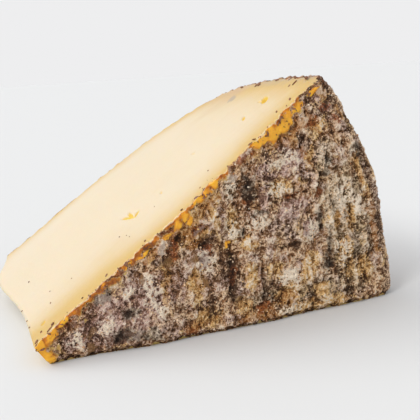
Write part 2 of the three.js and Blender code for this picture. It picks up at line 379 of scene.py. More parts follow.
def wedge_points(u, v, w):
    """Places on the wedge's surface: an array of (x from the wheel's axis, depth, height)."""
    along, deep = across_wheel(u, w)
    reach = along / WHEEL_RADIUS
    share = deep / WHEEL_HEIGHT
    cut_angle = lerp(NEAR_ANGLE, FAR_ANGLE, share)
    radius = heel_radius(cut_angle * v, share)
    lower_tip = lerp(NEAR_TIP["lower"], FAR_TIP["lower"], share)
    nose = TIP_NOSE["reach"] * hump(share, TIP_NOSE["across"], TIP_NOSE["spread"])
    upper_tip = lerp(NEAR_TIP["upper"], FAR_TIP["upper"], share) - nose
    tip_height = lerp(NEAR_TIP["height"], FAR_TIP["height"], share)

    # The straight lines along the two cuts, and the line from cut to cut between them
    heel_x = radius * np.cos(cut_angle)
    heel_z = radius * np.sin(cut_angle)
    x = lerp(lerp(lower_tip, radius, reach), lerp(upper_tip, heel_x, reach), v)
    z = lerp(0, lerp(tip_height, heel_z, reach), v)

    # Towards the heel that line bends into the wheel's arc
    bend = reach**1.5
    x = x + bend * (radius * np.cos(cut_angle * v) - lerp(radius, heel_x, v))
    z = z + bend * (radius * np.sin(cut_angle * v) - lerp(0, heel_z, v))

    middle = np.sin(np.pi * reach)
    crown = UPPER_CUT_CROWN * middle * np.sin(np.pi * np.clip(share, 0, 1)) * v**4
    x = x - crown * np.sin(cut_angle)
    z = z + crown * np.cos(cut_angle)

    ripples = FACE_RIPPLE * ripple(x, z)
    near_dome = NEAR_FACE_DOME * middle + ripples
    far_dome = FAR_FACE_DOME * middle + ripples
    depth = deep - near_dome * (1 - share) + far_dome * share
    return np.stack([x, depth, z], axis=1)


# The grid of the skin
def grid_lines(cells, narrow_start=0.0):
    """Lines from 0 to 1, with narrow cells over a share at the start."""
    lines = np.linspace(narrow_start, 1, cells + 1)
    if narrow_start:
        narrow = np.linspace(0, narrow_start, CELLS_IN_RIM + 1)
        lines = np.concatenate([narrow[:-1], lines])
    return lines


def box_of_lines():
    """A closed box whose points hold u, w and v as x, y and z, cut by the grid's lines."""
    us = grid_lines(CELLS_LONG)
    ws = grid_lines(CELLS_DEEP, NEAR_RIM_ROUND / WHEEL_HEIGHT)
    vs = grid_lines(CELLS_HIGH)
    last_u, last_w, last_v = len(us) - 1, len(ws) - 1, len(vs) - 1
    mesh = bmesh.new()
    made = {}

    def vertex(i, k, j):
        if (i, k, j) not in made:
            made[i, k, j] = mesh.verts.new((us[i], ws[k], vs[j]))
        return made[i, k, j]

    def side(cells_a, cells_b, at):
        for a, b in itertools.product(range(cells_a), range(cells_b)):
            mesh.faces.new([at(a, b), at(a + 1, b), at(a + 1, b + 1), at(a, b + 1)])

    side(last_w, last_u, lambda k, i: vertex(i, k, 0))
    side(last_u, last_w, lambda i, k: vertex(i, k, last_v))
    side(last_u, last_v, lambda i, j: vertex(i, 0, j))
    side(last_v, last_u, lambda j, i: vertex(i, last_w, j))
    side(last_v, last_w, lambda j, k: vertex(0, k, j))
    side(last_w, last_v, lambda k, j: vertex(last_u, k, j))
    return mesh


def longest_edge(u, w, v):
    """How long an edge of the skin may be, in mm, at each place of the box."""
    along, deep = u * WHEEL_RADIUS, w * WHEEL_HEIGHT
    longest = np.full(len(u), np.inf)
    longest[u > 1 - 1e-6] = HEEL_EDGE
    longest[deep < EDGE_STRIP["width"]] = EDGE_STRIP["edge"]
    longest[w < 1e-6] = NEAR_FACE_EDGE
    for eye in EYES:
        inside = (v > 1 - 1e-6) & (np.hypot(along - eye[0], deep - eye[1]) < 0.5 * eye[2] + 1)
        longest[inside] = EYE_EDGE
    return longest


def refine(mesh):
    """Halves the edges that are too long for their place, again and again."""
    for _ in range(4):
        mesh.verts.index_update()
        edges = list(mesh.edges)
        box = np.array([vertex.co for vertex in mesh.verts])
        ends = np.array([[vertex.index for vertex in edge.verts] for edge in edges])
        u, w, v = box.T
        first, second = wedge_points(u, v, w)[ends].transpose(1, 0, 2)
        length = np.linalg.norm(first - second, axis=1)
        too_long = np.flatnonzero(length > longest_edge(*box[ends].mean(axis=1).T))
        if len(too_long) == 0:
            return
        chosen = [edges[index] for index in too_long]
        bmesh.ops.subdivide_edges(mesh, edges=chosen, cuts=1, use_grid_fill=True)


# What stands where on the skin
class Skin:
    """The wedge's surface points, with what the relief and the finishes need to know of them."""

    def __init__(self, mesh):
        box = np.array([vertex.co for vertex in mesh.verts])
        u, w, v = box.T
        self.v = v
        self.along, self.deep = across_wheel(u, w)
        self.points = wedge_points(u, v, w)
        self.angle = lerp(NEAR_ANGLE, FAR_ANGLE, self.deep / WHEEL_HEIGHT)
        self.on_cut = (v < 1e-6) | (v > 1 - 1e-6) | (u < 1e-6)
        self.on_upper_cut = v > 0.999
        self.find_rind()
        self.upper_edge = np.maximum(self.along, 5) * np.sin(self.angle * (1 - v))
        self.lower_edge = self.points[:, 2]

    def find_rind(self):
        """How deep under the rind each point is, and which way the rind faces there."""
        near = self.deep < WHEEL_HEIGHT / 2
        rim = np.where(near, NEAR_RIM_ROUND, FAR_RIM_ROUND)
        from_face = np.where(
            near,
            np.minimum(self.deep - rim, 0),
            np.maximum(self.deep - (WHEEL_HEIGHT - rim), 0),
        )
        from_core = np.stack([np.maximum(self.along - (WHEEL_RADIUS - rim), 0), from_face])
        length = np.linalg.norm(from_core, axis=0)
        to_face = np.minimum(self.deep, WHEEL_HEIGHT - self.deep)
        inner = np.minimum(to_face, WHEEL_RADIUS - self.along)
        self.rind_distance = np.where(length > 0, rim - length, inner)
        out_along, out_deep = from_core / np.maximum(length, 1e-9)
        here = self.angle * self.v
        self.outward = np.stack([out_along * np.cos(here), out_deep, out_along * np.sin(here)], axis=1)

    def warped(self, size, amount, seed):
        """The points, each moved a little by noise, so that what is laid out by them is uneven."""
        moves = [layered_noise(self.points, size, seed + 10 * axis) for axis in range(3)]
        return self.points + amount * np.stack(moves, axis=1)


def spots(s, z, places):
    """1 in the middle of the nearest of many elliptic spots, and 0 outside them."""
    strongest = np.zeros(len(s))
    for middle_s, middle_z, long, wide, turn in places:
        cos, sin = math.cos(math.radians(turn)), math.sin(math.radians(turn))
        a = ((s - middle_s) * cos + (z - middle_z) * sin) / (long / 2)
        b = ((z - middle_z) * cos - (s - middle_s) * sin) / (wide / 2)
        strongest = np.maximum(strongest, 1 - smooth_step(0.35, 1.25, np.hypot(a, b)))
    return strongest


def scattered_spots(points, seed, count, size):
    """Round spots all over the wheel's rind, for the sides that the near face's lists leave out."""
    random = np.random.default_rng(seed)
    strongest = np.zeros(len(points))
    for _ in range(count):
        angle = random.uniform(0, NEAR_ANGLE)
        along, deep = WHEEL_RADIUS, random.uniform(0, WHEEL_HEIGHT)
        if random.random() < 0.45:
            along, deep = WHEEL_RADIUS * math.sqrt(random.uniform(0.02, 0.9)), WHEEL_HEIGHT
        middle = np.array([along * math.cos(angle), deep, along * math.sin(angle)])
        radius = size * random.uniform(0.5, 1.4)
        distance = np.linalg.norm((points - middle) * random.uniform(0.7, 1.3, 3), axis=1)
        strongest = np.maximum(strongest, 1 - smooth_step(0.4, 1.1, distance / radius))
    return strongest


def smeared_band(skin):
    """Cheese smeared over the rind in an uneven band along the upper cut, and in places below."""
    width = SMEARED_BAND["width"]
    width += SMEARED_BAND["gain"] * hump(skin.along, SMEARED_BAND["along"], SMEARED_BAND["spread"])
    width += SMEARED_BAND["uneven"] * layered_noise(skin.points, 5.0, 81)
    width += SMEARED_BAND["ragged"] * noise(skin.points, 1.6, 82)
    upper = 1 - smooth_step(0.3, 1.3, skin.upper_edge / np.maximum(width, 0.15))
    low_width = np.maximum(0.9 * layered_noise(skin.points, 5.0, 84) - 0.45, 0.02)
    lower = 1 - smooth_step(0.5, 1.3, skin.lower_edge / low_width)
    return np.maximum(upper, 0.7 * lower)


def rind_marks(skin):
    """Each kind of mark on the rind, from 0 to 1 at every point."""
    bent = skin.warped(3.2, 1.0, 40)
    s, z = bent[:, 0], bent[:, 2]
    loose = skin.warped(7.0, 3.2, 45)
    near = 1 - smooth_step(5, 12, skin.deep)
    marks = {}
    for seed, (kind, (places, count, size)) in enumerate(RIND_MARKS.items(), start=70):
        hidden = HIDDEN_STRENGTH * scattered_spots(loose, seed, count, size)
        plain = near * spots(s, z, places) + (1 - near) * hidden
        ragged = plain + RAGGEDNESS[kind] * layered_noise(skin.points, 1.8, 10 * seed, 3, 0.7)
        marks[kind] = np.clip(ragged, 0, 1) * smooth_step(0, 0.15, plain)

    # Dark along the near rim, and rusty where the heel meets the upper cut
    rim = smooth_step(94, 97, skin.along) * (1 - smooth_step(3, 6, skin.deep))
    marks["umber"] = np.maximum(marks["umber"], 0.95 * rim)
    heel_lip = (skin.along > 94) * hump(skin.upper_edge, 0, 2.5)
    heel_lip *= np.clip(0.6 + layered_noise(skin.points, 3.0, 86), 0, 1)
    marks["rust"] = np.maximum(marks["rust"], 0.85 * heel_lip)
    marks["gold"] = near * spots(s, z, GOLD_SMEARS)
    marks["band"] = smeared_band(skin) * (0.2 + 0.8 * near) * (1 - marks["rust"])
    return marks


def threads(points, size, seed):
    """Thin winding lines, 1 in their middle, a size in mm apart."""
    return np.clip(1 - 3.2 * np.abs(noise(points, size, seed)), 0, 1)


def folds(skin):
    """Creases and ridges of the near face, and the wrinkles round the wheel, in mm."""
    bent = skin.warped(4.0, 0.5, 90)
    height = np.zeros(len(bent))
    for *place, rise in FOLDS:
        height += rise * spots(bent[:, 0], bent[:, 2], [tuple(place)])
    height *= 1 - smooth_step(3, 10, skin.deep)
    from_axis = np.hypot(bent[:, 0], bent[:, 2]) + 0.8 * noise(skin.points, 9.0, 97)
    wave = np.sin(2 * np.pi * from_axis / WRINKLES["spacing"])
    start = WRINKLES["start"]
    return height + WRINKLES["height"] * wave * smooth_step(start - 3, start + 3, from_axis)


def cloth_print(skin):
    """The grooves that cloth pressed into the rind, 1 in their middle, worn away in places."""
    bent = skin.warped(6.0, 1.0, 150)
    round_wheel = np.where(np.abs(skin.outward[:, 1]) > 0.6, bent[:, 0], bent[:, 1])
    upright = 1 - np.abs(np.sin(np.pi * round_wheel / CLOTH_PRINT["across"])) / 0.45
    level = 1 - np.abs(np.sin(np.pi * bent[:, 2] / CLOTH_PRINT["up"])) / 0.3
    left = smooth_step(-0.6, 0.5, layered_noise(skin.points, 7.0, 155))
    return np.clip(np.maximum(upright, level), 0, 1) * left


def crust_plates(skin, marks):
    """Columns, flakes and the cloth's print, in mm, and each point's flake's own number."""
    points = skin.points
    upright = skin.warped(5.0, 1.0, 140) * np.array([1.0, 1.0, 0.3])
    columns = 1 - 2 * np.abs(noise(upright, COLUMNS["size"], 15)) - 0.8 * threads(upright, 4.0, 17)
    columns *= lerp(COLUMNS["at_tip"], COLUMNS["at_heel"], smooth_step(60, 80, points[:, 0]))
    grooves = cloth_print(skin) * (1 - 0.6 * hump(points[:, 0], 25, 22))
    flaky = np.clip(0.2 + 0.8 * marks["cream"] + 0.3 * marks["sage"], 0, 1)
    _, gap, flake = grains(skin.warped(1.6, 0.4, 160) * np.array([1, 1, 0.7]), FLAKES["size"], 41)
    flakes = flaky * (smooth_step(0.02, 0.3, gap) * lerp(0.4, 1, flake) - 0.6)
    plates = columns + RELIEF["mottle"] * noise(points, 2.4, 19)
    plates += FLAKES["height"] * flakes - CLOTH_PRINT["depth"] * grooves
    return plates, flake


def mould_cover(skin, marks, smear):
    """How thickly mould covers the crust, from 0 to 1."""
    cover = layered_noise(skin.points, 1.9, 21, 3, 0.6) + 0.7 * marks["pale"] + 0.2 * marks["cream"]
    cover -= 0.5 * (marks["umber"] + marks["soot"] + marks["olive"]) + 0.7 * smear
    cover -= THIN_MOULD["less"] * hump(skin.points[:, 0], THIN_MOULD["along"], THIN_MOULD["spread"])
    return smooth_step(-0.7, 0.8, cover)


def rind_relief(skin, marks):
    """The rind's height over the plain form, in mm, and what the finish needs to know of it."""
    points = skin.points
    smear = np.maximum(marks["gold"], 0.7 * marks["band"])
    lumps = RELIEF["lumps"] * layered_noise(points, 9.0, 11) + folds(skin)
    plates, flake = crust_plates(skin, marks)
    mould = mould_cover(skin, marks, smear)
    bent = skin.warped(1.3, 0.35, 120)
    winding = np.maximum(threads(bent, 1.6, 23), 0.9 * threads(bent, 1.0, 27))
    to_bead, _, bead_number = grains(points, 1.1, 31)
    bead = np.clip(1 - 1.5 * to_bead, 0, 1) * bead_number
    to_pit, _, pit_number = grains(bent, 1.5, 35)
    pit = np.clip(1 - 2.4 * to_pit, 0, 1) * (pit_number > 0.35)
    grain = RELIEF["mould"] * mould + RELIEF["threads"] * winding + RELIEF["beads"] * bead
    grain -= PIT_DEPTH * pit + GRAIN_SUNK

    bare = np.maximum(marks["olive"], marks["plate"])
    rough = 1 - 0.8 * np.maximum(smear, 0.8 * bare)
    # low is 1 along the floor: the rind turns in there, and the level below drops there for a painted
    # shadow along the floor
    low = 1 - smooth_step(0, UNDERCUT["height"], skin.lower_edge)
    height = lumps - RELIEF_SUNK + rough * (plates + grain)
    height += RELIEF["smears"] * smear - UNDERCUT["depth"] * low
    # The level is high on the relief's high places and low in its hollows, creases and along the
    # floor. The finish whitens the mould where it is high and darkens pits and soot where it is low:
    # painted light and shade of the relief, and a painted shadow along the floor
    level = 0.5 + rough * (1.1 * grain + 0.8 * plates) + 0.45 * np.clip(lumps, -0.8, 0.5) - 0.4 * low
    return height, {"mould": mould, "winding": winding, "level": level, "flake": flake}


def eye_depth(skin):
    """How deep the eyes go into the upper cut, in mm."""
    bent = 0.2 * layered_noise(skin.points, 1.5, 101)
    depth = np.zeros(len(skin.v))
    for *place, deepest in EYES:
        shape = spots(skin.along + bent, skin.deep + bent, [tuple(place)])
        depth = np.maximum(depth, deepest * shape)
    return depth * skin.on_upper_cut


# Shader maths
class Value:
    """A number or colour that changes over a surface, which Python's operators work on."""

    def __init__(self, finish, socket):
        self.finish = finish
        self.socket = socket

    def maths(self, operation, first, second=0.0):
        return self.finish.node("ShaderNodeMath", {"operation": operation}, {0: first, 1: second})

    def __abs__(self):
        return self.maths("ABSOLUTE", self)

    def __add__(self, other):
        return self.maths("ADD", self, other)

    def __sub__(self, other):
        return self.maths("SUBTRACT", self, other)

    def __rsub__(self, other):
        return self.maths("SUBTRACT", other, self)

    def __mul__(self, other):
        return self.maths("MULTIPLY", self, other)

    __radd__ = __add__
    __rmul__ = __mul__


def colour(red, green, blue):
    """A display colour, each channel from 0 to 255, as Blender's linear one."""
    shares = [channel / 255 for channel in (red, green, blue)]
    return tuple(s / 12.92 if s <= 0.04045 else ((s + 0.055) / 1.055) ** 2.4 for s in shares) + (1.0,)


class Finish:
    """The nodes of a material, or of the room, and the places that their patterns go by."""

    def __init__(self, owner, places="Object"):
        self.owner = owner
        self.owner.use_nodes = True
        self.tree = self.owner.node_tree
        self.tree.nodes.clear()
        self.place = self.node("ShaderNodeTexCoord", output=places)

    def node(self, kind, settings=None, sockets=None, output=0):
        """Adds a node: first its settings, then the values or links of its sockets."""
        made = self.tree.nodes.new(kind)
        for name, value in (settings or {}).items():
            setattr(made, name, value)
        for name, value in (sockets or {}).items():
            if isinstance(value, Value):
                self.tree.links.new(value.socket, made.inputs[name])
            else:
                made.inputs[name].default_value = value
        return None if output is None else Value(self, made.outputs[output])

    def mark(self, name):
        """A mark that the mesh carries from point to point."""
        return self.node("ShaderNodeAttribute", {"attribute_name": name}, output="Fac")

    def noise(self, size, detail=3.0, roughness=0.55, distortion=0.0, place=None):
        """Noise from 0 to 1, with lumps of a size in mm."""
        sockets = {
            "Vector": place or self.place,
            "Scale": 1 / (size * MM),
            "Detail": detail,
            "Roughness": roughness,
            "Distortion": distortion,
        }
        return self.node("ShaderNodeTexNoise", {}, sockets)

    def stretched(self, x, y, z):
        """The place on the surface, squeezed along each axis, which stretches a pattern."""
        sockets = {0: self.place, 1: (x, y, z)}
        return self.node("ShaderNodeVectorMath", {"operation": "MULTIPLY"}, sockets)

    def cells(self, size):
        """Distance from the nearest of scattered points, a size in mm apart, in those sizes."""
        sockets = {"Vector": self.place, "Scale": 1 / (size * MM)}
        return self.node("ShaderNodeTexVoronoi", {}, sockets, "Distance")

    def step(self, value, low, high):
        """0 below low, 1 above high, and a smooth rise between them."""
        sockets = {"Value": value, "From Min": low, "From Max": high}
        return self.node("ShaderNodeMapRange", {"interpolation_type": "SMOOTHSTEP"}, sockets)

    def mix(self, share, first, second):
        """The first colour, turning into the second as the share goes from 0 to 1."""
        settings = {"data_type": "RGBA"}
        return self.node("ShaderNodeMix", settings, {0: share, 6: first, 7: second}, 2)

    def cover(self, shade, value, low, high, colour_over, share=1.0):
        """The shade under another colour, which sets in as a value goes from low to high."""
        covered = self.step(value, low, high)
        if share < 1:
            covered = covered * share
        return self.mix(covered, shade, colour_over)

    def bump(self, height, depth):
        """A bump of a depth in mm."""
        return self.node("ShaderNodeBump", {}, {"Height": height, "Distance": depth * MM})

    def surface(self, shade, roughness, bumps=None, others=None):
        sockets = {"Base Color": shade, "Roughness": roughness} | (others or {})
        if bumps:
            sockets["Normal"] = bumps
        return self.node("ShaderNodeBsdfPrincipled", {}, sockets)

    def end(self, shader, kind="ShaderNodeOutputMaterial"):
        self.node(kind, {}, {"Surface": shader}, output=None)
        return self.owner


def new_finish(name):
    return Finish(bpy.data.materials.new(name))


# Finishes: how deep light goes into the paste and how deep the bumps are, and the colours
PASTE_GLOW = 2.6
PASTE_BUMP = 0.14
RIND_BUMP = 0.2
IVORY = colour(219, 203, 175)
BUTTER = colour(205, 171, 102)
EYE_GOLD = colour(228, 196, 84)
# The white of the painted highlight along the upper cut's near edge:
HIGHLIGHT_WHITE = colour(242, 226, 196)
EDGE_TAN = colour(196, 164, 126)
EDGE_GREY = colour(166, 150, 136)


def paste_surface(finish):
    """The smooth ivory inside of the cheese, yellower towards the rind and in the eyes."""
    mark, step, cover = finish.mark, finish.step, finish.cover
    cloud = finish.noise(16, 3) - 0.5
    streaks = finish.noise(1.6, 2, place=finish.stretched(0.1, 1.0, 0.1)) - 0.5
    yellow = mark("yellowing") + 0.45 * cloud + 0.12 * streaks
    shade = finish.mix(step(yellow, 0.0, 1.0), IVORY, BUTTER)
    shade = cover(shade, mark("heel_side") + 0.5 * cloud, 0.1, 0.8, EDGE_TAN, 0.85)
    grey = mark("heel_grey") + 0.8 * (finish.noise(2.4, 4) - 0.5)
    shade = cover(shade, grey, 0.4, 1.4, EDGE_GREY, 0.75)
    shade = cover(shade, mark("eye"), 0.1, 0.7, EYE_GOLD)

    # Cheese smeared over the rind, golden where it is thick
    gold = mark("gold")
    golden = step(0.6 * gold + 1.8 * (finish.noise(2.6, 3) - 0.5), 0.15, 0.65)
    smear = finish.mix(golden, AMBER, GOLD)
    brown = finish.noise(1.5, 4, 0.65) - 0.22 * gold
    smear = cover(smear, brown, 0.34, 0.58, HONEY_BROWN)
    smear = cover(smear, brown, 0.5, 0.7, RUST, 0.8)
    shade = cover(shade, mark("smeared"), 0.3, 0.7, smear)

    # A painted highlight: a pale, uneven line along the upper cut's edge beside the near face
    edge_highlight = mark("edge_highlight") + 0.8 * streaks + 0.6 * (finish.noise(0.8, 3) - 0.5)
    edge_highlight = edge_highlight + 0.9 * (finish.noise(3.4, 2) - 0.5)
    shade = cover(shade, edge_highlight, 0.5, 1.0, HIGHLIGHT_WHITE, 0.5)
    pores = finish.noise(0.7, 3)
    bumps = finish.bump(0.4 * pores + finish.noise(5, 2) + 0.3 * streaks, PASTE_BUMP)
    translucent = {
        "Subsurface Weight": 0.5,
        "Subsurface Radius": (1.0, 0.62, 0.30),
        "Subsurface Scale": PASTE_GLOW * MM,
        "Specular IOR Level": 0.3,
    }
    return finish.surface(shade, 0.45 + 0.12 * pores, bumps, translucent)


PIT_BROWN = colour(50, 30, 17)
CRUMB_BROWN = colour(116, 72, 42)
DARK_BROWN = colour(98, 68, 48)
BROWN = colour(146, 104, 74)
WARM_BROWN = colour(174, 120, 76)
OCHRE = colour(206, 146, 76)
LILAC = colour(156, 116, 100)
SAGE = colour(120, 108, 78)
STAIN = colour(178, 112, 50)
BEIGE_MOULD = colour(248, 213, 174)
DUSTY_MOULD = colour(224, 193, 176)
LILAC_MOULD = colour(226, 193, 180)
SAGE_MOULD = colour(212, 196, 160)
GREY_MOULD = colour(182, 169, 150)
CREAM_MOULD = colour(242, 200, 136)
WHITE_MOULD = colour(254, 236, 212)
SLATE = colour(90, 82, 70)
SOOT = colour(26, 24, 22)
RUST = colour(132, 66, 28)
RUST_ORANGE = colour(186, 104, 42)
OLIVE = colour(142, 106, 66)
PLATE_GREY = colour(164, 144, 132)
HONEY_BROWN = colour(164, 96, 30)
AMBER = colour(208, 130, 28)
GOLD = colour(242, 180, 52)
STUDIO_WHITE = colour(238, 238, 239)
OVERHEAD_GREY = colour(210, 211, 214)
FLOOR_WHITE = colour(222, 223, 223)


def rind_surface(finish):
    """The dry crust: brown, in patches, under a web of pale mould with dark pits between. It is whiter
    on the relief's high places and darker in its hollows and along the floor: painted light and shade.
    """
    mark, step, cover = finish.mark, finish.step, finish.cover
    fine = finish.noise(0.36, 3, 0.65)
    grit = finish.noise(0.9, 4, 0.65, 0.5)
    middling = finish.noise(2.6, 4, 0.6)
    broad = finish.noise(9, 3)
    worms = step(abs(finish.noise(0.7, 1.5, 0.5, 0.8) - 0.5), 0.085, 0.01)
    ropes = step(abs(finish.noise(1.3, 2.0, 0.5, 0.8) - 0.5), 0.07, 0.0)
    holes = step(finish.cells(0.75), 0.34, 0.12)
    speckle = 1.3 * (fine - 0.5) + 0.8 * (grit - 0.5)

    # The crust under the mould
    shade = finish.mix(step(middling + speckle, 0.2, 0.8), DARK_BROWN, BROWN)
    shade = cover(shade, broad + 0.15 * speckle, 0.3, 0.7, WARM_BROWN)
    for kind, low, high, patch in (
        ("lilac", 0.2, 0.9, LILAC),
        ("sage", 0.3, 1.3, SAGE),
        ("cream", 0.2, 1.0, OCHRE),
        ("stain", 0.2, 0.8, STAIN),
        ("umber", 0.3, 0.9, DARK_BROWN),
        ("slate", 0.35, 1.1, SLATE),
    ):
        shade = cover(shade, mark(kind) + 0.6 * speckle, low, high, patch, 0.8)

    # The mould: beige, dusty, lilac, grey-green, creamy or grey
    level = mark("level") - 0.5
    flake = mark("flake") - 0.5
    pale = mark("pale")
    dusty_or_beige = step(finish.noise(4.5, 3) + 0.2 * speckle, 0.4, 0.6)
    mould = finish.mix(dusty_or_beige, DUSTY_MOULD, BEIGE_MOULD)
    mould = cover(mould, mark("lilac") + 0.4 * speckle, 0.2, 0.8, LILAC_MOULD)
    sage = mark("sage") + 0.5 * speckle - 0.5 * flake
    mould = cover(mould, sage, 0.2, 0.9, SAGE_MOULD, 0.45)
    creamy = 0.75 * mark("cream") + 0.5 * mark("stain") + 1.2 * (middling - 0.5)
    creamy = creamy + 0.25 * speckle + 0.9 * flake + 0.12
    mould = cover(mould, creamy, 0.2, 0.8, CREAM_MOULD)
    mould = cover(mould, mark("slate") + speckle, 0.2, 0.9, GREY_MOULD, 0.7)

    # It lies in a web, whitest on the high places: partly the mould's own colour, partly painted light
    # on the relief's high places
    web_and_painted_light = 0.35 * mark("winding") + 0.2 * (worms + ropes) + 0.3 * (mark("mould") - 0.5)
    web_and_painted_light = web_and_painted_light + 1.1 * level + 1.5 * speckle + 0.16 * pale + 0.03
    shade = cover(shade, web_and_painted_light, 0.0, 0.7, mould, 0.95)
    shade = cover(shade, web_and_painted_light + 0.35 * pale, 0.65, 1.1, WHITE_MOULD)
    shade = cover(shade, mark("stain") + 1.2 * speckle, 0.4, 1.2, STAIN, 0.5)

    # Crisp grains, dark or pale
    crisp = finish.noise(0.3, 2, 0.7)
    shade = cover(shade, crisp, 0.52, 0.7, PIT_BROWN, 0.4)
    shade = cover(shade, crisp, 0.47, 0.3, BEIGE_MOULD, 0.3)

    # Rust-brown places, pits and dark spots. Pits and soot are darker where the level is low, as
    # painted shade in the relief's hollows and creases and a painted shadow along the floor
    rusty = finish.mix(step(middling + speckle, 0.5, 0.8), RUST, RUST_ORANGE)
    rust = mark("rust") + 1.6 * speckle - 0.3 * worms
    shade = cover(shade, rust, 0.3, 0.8, rusty, 0.85)
    pits_and_painted_shade = 0.45 * holes - 1.1 * level - 1.5 * speckle
    shade = cover(shade, pits_and_painted_shade, -0.05, 0.7, PIT_BROWN, 0.9)
    soot = mark("soot")
    soot_and_painted_shade = step(0.6 * soot - 0.5 * level + 3.0 * speckle, 0.15, 0.9)
    soot_and_painted_shade = soot_and_painted_shade * step(soot, 0.0, 0.3)
    shade = finish.mix(soot_and_painted_shade * 0.55, shade, SOOT)

    # Bare places: hollows like old oil, and smooth grey plates
    shade = cover(shade, mark("olive") + 1.5 * speckle, 0.3, 0.8, OLIVE, 0.65)
    plates = mark("plate") + 1.5 * speckle - 0.3 * worms
    shade = cover(shade, plates, 0.2, 0.7, PLATE_GREY, 0.6)

    relief = 0.6 * fine + 0.7 * grit + 0.4 * (worms + ropes) - 0.6 * holes
    bumps = finish.bump(relief, RIND_BUMP)
    return finish.surface(shade, 0.75 + 0.15 * fine, bumps, {"Specular IOR Level": 0.25})


def cheese_finish():
    """Paste and rind in one material: the mesh says where the rind is, and where paste is on it."""
    finish = new_finish("cheese")
    paste = paste_surface(finish)
    rind = rind_surface(finish)
    uneven = finish.noise(0.8, 3) - 0.5
    edge = finish.step(finish.mark("rind") + 0.5 * uneven, 0.4, 0.6)
    torn = uneven + 0.7 * (finish.noise(2.2, 3) - 0.5)
    smeared = finish.step(finish.mark("smeared") + 1.6 * torn, 0.3, 0.7)
    share = edge * (1 - smeared)
    return finish.end(finish.node("ShaderNodeMixShader", {}, {0: share, 1: paste, 2: rind}))


def grain_finish():
    """Grains of mould: each from brown to white, creamy or grey where the rind is."""
    finish = new_finish("mould_grain")
    tint = finish.mark("tint") + 0.5 * (finish.noise(0.3, 2) - 0.5)
    shade = finish.mix(finish.step(tint, 0.0, 0.6), WARM_BROWN, BEIGE_MOULD)
    shade = finish.cover(shade, finish.mark("cream") * tint, 0.1, 0.4, CREAM_MOULD)
    shade = finish.cover(shade, finish.mark("slate"), 0.2, 0.8, SLATE, 0.6)
    shade = finish.cover(shade, tint, 0.8, 1.05, WHITE_MOULD)
    bumps = finish.bump(finish.noise(0.25, 2), 0.15)
    return finish.end(finish.surface(shade, 0.9, bumps))


def crumb_finish():
    finish = new_finish("rind_crumb")
    tint = finish.mark("tint") + 0.6 * (finish.noise(0.5, 3) - 0.5)
    shade = finish.mix(finish.step(tint, 0.1, 0.8), CRUMB_BROWN, BROWN)
    shade = finish.cover(shade, tint, 0.8, 1.1, LILAC)
    bumps = finish.bump(finish.noise(0.3, 2), 0.2)
    return finish.end(finish.surface(shade, 0.8, bumps))


def floor_finish():
    finish = new_finish("pale_floor")
    return finish.end(finish.surface(FLOOR_WHITE, 0.9))


# Pieces
def add_marks(mesh, marks):
    for name, values in marks.items():
        layer = mesh.attributes.new(name, "FLOAT", "POINT")
        layer.data.foreach_set("value", values.astype(np.float32))


def add_piece(name, mesh, material):
    """Puts a finished mesh in the scene, riding on the part's one body."""
    mesh.materials.append(material)
    mesh.shade_smooth()
    piece = bpy.data.objects.new(name, mesh)
    bpy.context.scene.collection.objects.link(piece)
    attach(piece, "root")
    return piece


def in_part_frame(points):
    """Places from the wheel's axis, in mm, turned into the part's frame, in metres."""
    return (points + np.array([AXIS_X, NEAR_FACE_Y, 0])) * MM


def edge_crumbs(skin):
    """Where crumbs of rind lie on the upper cut: beside the near face, in clusters."""
    clusters = 0.35 + noise(skin.points, 8.0, 131) + 0.6 * noise(skin.points, 2.5, 132)
    beside = fading(skin.deep, 0.9) * (skin.along < 92)
    return np.clip(clusters, 0, 1) * beside * skin.on_upper_cut


def worn(skin, points, eyes):
    """The points after the cuts' edges are worn and the eyes and the near corner are sunk."""
    chips = WORN_EDGE["chips"] * np.clip(layered_noise(skin.points, 2.6, 111), 0, 1)
    crumbled = chips + WORN_EDGE["crumbling"] * layered_noise(skin.points, 1.3, 115)
    edge = hump(skin.rind_distance, 0, WORN_EDGE["reach"]) * crumbled
    from_heel = (WHEEL_RADIUS - skin.along) / WORN_CORNER["along"]
    corner = 1 - smooth_step(0, 1, np.hypot(from_heel, skin.deep / WORN_CORNER["deep"]))
    sink = edge * hump(skin.upper_edge, 0, 1.0) + eyes
    sink += WORN_CORNER["depth"] * corner * smooth_step(0.85, 1, skin.v)
    upper_normal = np.stack([-np.sin(skin.angle), 0 * skin.angle, np.cos(skin.angle)], axis=1)
    points = points - upper_normal * sink[:, None]
    points[:, 2] += np.maximum(edge, 0) * hump(skin.lower_edge, 0, 0.8)
    points[:, 2] = np.maximum(points[:, 2], 0)
    return points


def rind_share(skin, near_corner):
    """1 where rind shows. The cuts go through it, and it is thickest at the heel's near corner."""
    ragged = layered_noise(skin.points, 3.0, 121)
    thickness = RIND_THICKNESS["even"] + RIND_THICKNESS["uneven"] * np.clip(ragged, -0.3, 1)
    thicker = RIND_THICKNESS["corner"] + RIND_THICKNESS["corner_uneven"] * ragged
    thickness += near_corner * np.clip(thicker, 0, RIND_THICKNESS["most"])
    on_cuts = 1 - smooth_step(0.5, 1.0, skin.rind_distance / thickness)
    return np.where(skin.on_cut, on_cuts, 1.0)


